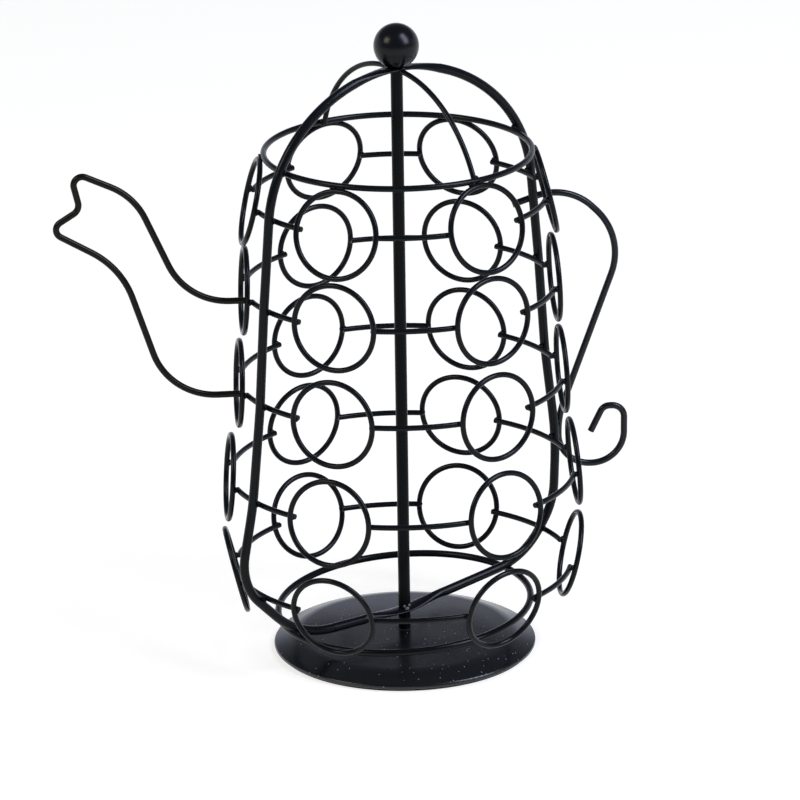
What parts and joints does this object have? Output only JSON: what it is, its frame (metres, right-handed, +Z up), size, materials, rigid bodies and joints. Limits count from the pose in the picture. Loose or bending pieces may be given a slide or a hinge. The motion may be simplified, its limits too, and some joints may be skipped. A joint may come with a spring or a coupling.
{
  "type": "coffee capsule holder",
  "caption": "Black wire carousel shaped like a teapot: tiers of open rings hold coffee capsules round a rod that turns on a round base, with a wire spout, curled handle and ball knob.",
  "frame": {"origin": "on the table, under the centre rod, in the middle of the base pad's lower face", "axes": "+Z up along the rod, which is the longest extent; +X towards the handle's side, -X towards the spout's side, -Y to the front"},
  "size_m": [0.2312, 0.1404, 0.258],
  "materials": {
    "black_coat": "satin black powder coat",
    "pad": "matt black foam rubber",
    "bush": "black moulded nylon",
    "zinc": "zinc-plated steel"
  },
  "bodies": {
    "base": {"base_dish": "black_coat", "base_pad": "pad", "hub_bush": "bush"},
    "cage": {"centre_rod": "black_coat", "under_washer": "zinc", "lock_nut": "zinc", "ball_knob": "black_coat", "rib_loop": "black_coat", "top_ring": "black_coat", "lower_ring": "black_coat", "dome_wire_front": "black_coat", "dome_wire_rear": "black_coat", "spout_wire": "black_coat", "handle_wire": "black_coat", "tier1_tie_wires": "black_coat", "tier1_ring_front_left": "black_coat", "tier1_ring_front_right": "black_coat", "tier1_ring_right": "black_coat", "tier1_ring_rear_right": "black_coat", "tier1_ring_rear_left": "black_coat", "tier1_ring_left": "black_coat", "tier2_tie_wires": "black_coat", "tier2_ring_front_left": "black_coat", "tier2_ring_front_right": "black_coat", "tier2_ring_right": "black_coat", "tier2_ring_rear_right": "black_coat", "tier2_ring_rear_left": "black_coat", "tier2_ring_left": "black_coat", "tier3_tie_wires": "black_coat", "tier3_ring_front_left": "black_coat", "tier3_ring_front_right": "black_coat", "tier3_ring_right": "black_coat", "tier3_ring_rear_right": "black_coat", "tier3_ring_rear_left": "black_coat", "tier3_ring_left": "black_coat", "tier4_tie_wires": "black_coat", "tier4_ring_front_left": "black_coat", "tier4_ring_front_right": "black_coat", "tier4_ring_right": "black_coat", "tier4_ring_rear_right": "black_coat", "tier4_ring_rear_left": "black_coat", "tier4_ring_left": "black_coat", "tier5_tie_wires": "black_coat", "tier5_ring_front_left": "black_coat", "tier5_ring_front_right": "black_coat", "tier5_ring_right": "black_coat", "tier5_ring_rear_right": "black_coat", "tier5_ring_rear_left": "black_coat", "tier5_ring_left": "black_coat"}
  },
  "joints": [
    {"name": "cage_spin", "type": "hinge", "parent": "base", "child": "cage", "pos_m": [0, 0, 0.00705], "axis": [0, 0, 1], "continuous": true}
  ]
}
